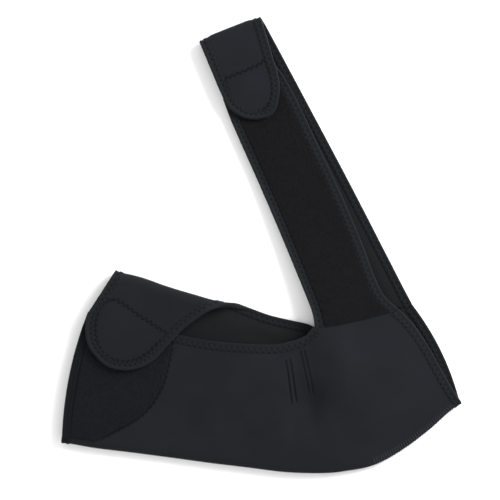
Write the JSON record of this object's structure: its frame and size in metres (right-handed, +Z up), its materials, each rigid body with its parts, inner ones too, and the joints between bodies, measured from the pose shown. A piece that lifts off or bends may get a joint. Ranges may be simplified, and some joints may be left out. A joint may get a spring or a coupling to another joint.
{
  "type": "shoulder brace arm sling",
  "caption": "Neoprene arm sling shoulder brace, lying flat: forearm pouch with a folded wrist flap and a strap that fastens on itself over the shoulder.",
  "frame": {"origin": "centre of the bounding box's underside, on the surface that the brace lies on", "axes": "+X from the wrist to the elbow, +Y from the pouch's bottom fold to the top of the shoulder strap, +Z up off the surface"},
  "size_m": [0.3994, 0.4566, 0.0289],
  "materials": {
    "neoprene": "matt knit jersey over foam rubber",
    "loop_pile": "brushed loop pile",
    "hook_tape": "woven tape with plastic hooks",
    "binding_tape": "matt knitted tape"
  },
  "bodies": {
    "root": {"arm_pouch": "neoprene", "wrist_loop_pile": "loop_pile", "wrist_hook_patch": "hook_tape", "wrist_binding": "binding_tape", "flap_binding": "binding_tape", "back_opening_binding": "binding_tape", "front_opening_binding": "binding_tape", "front_elbow_binding": "binding_tape", "back_elbow_binding": "binding_tape", "front_strap": "neoprene", "strap_loop_pile": "loop_pile", "front_strap_binding": "binding_tape", "back_strap": "neoprene", "strap_hook_patch": "hook_tape", "back_strap_binding": "binding_tape"}
  },
  "joints": []
}
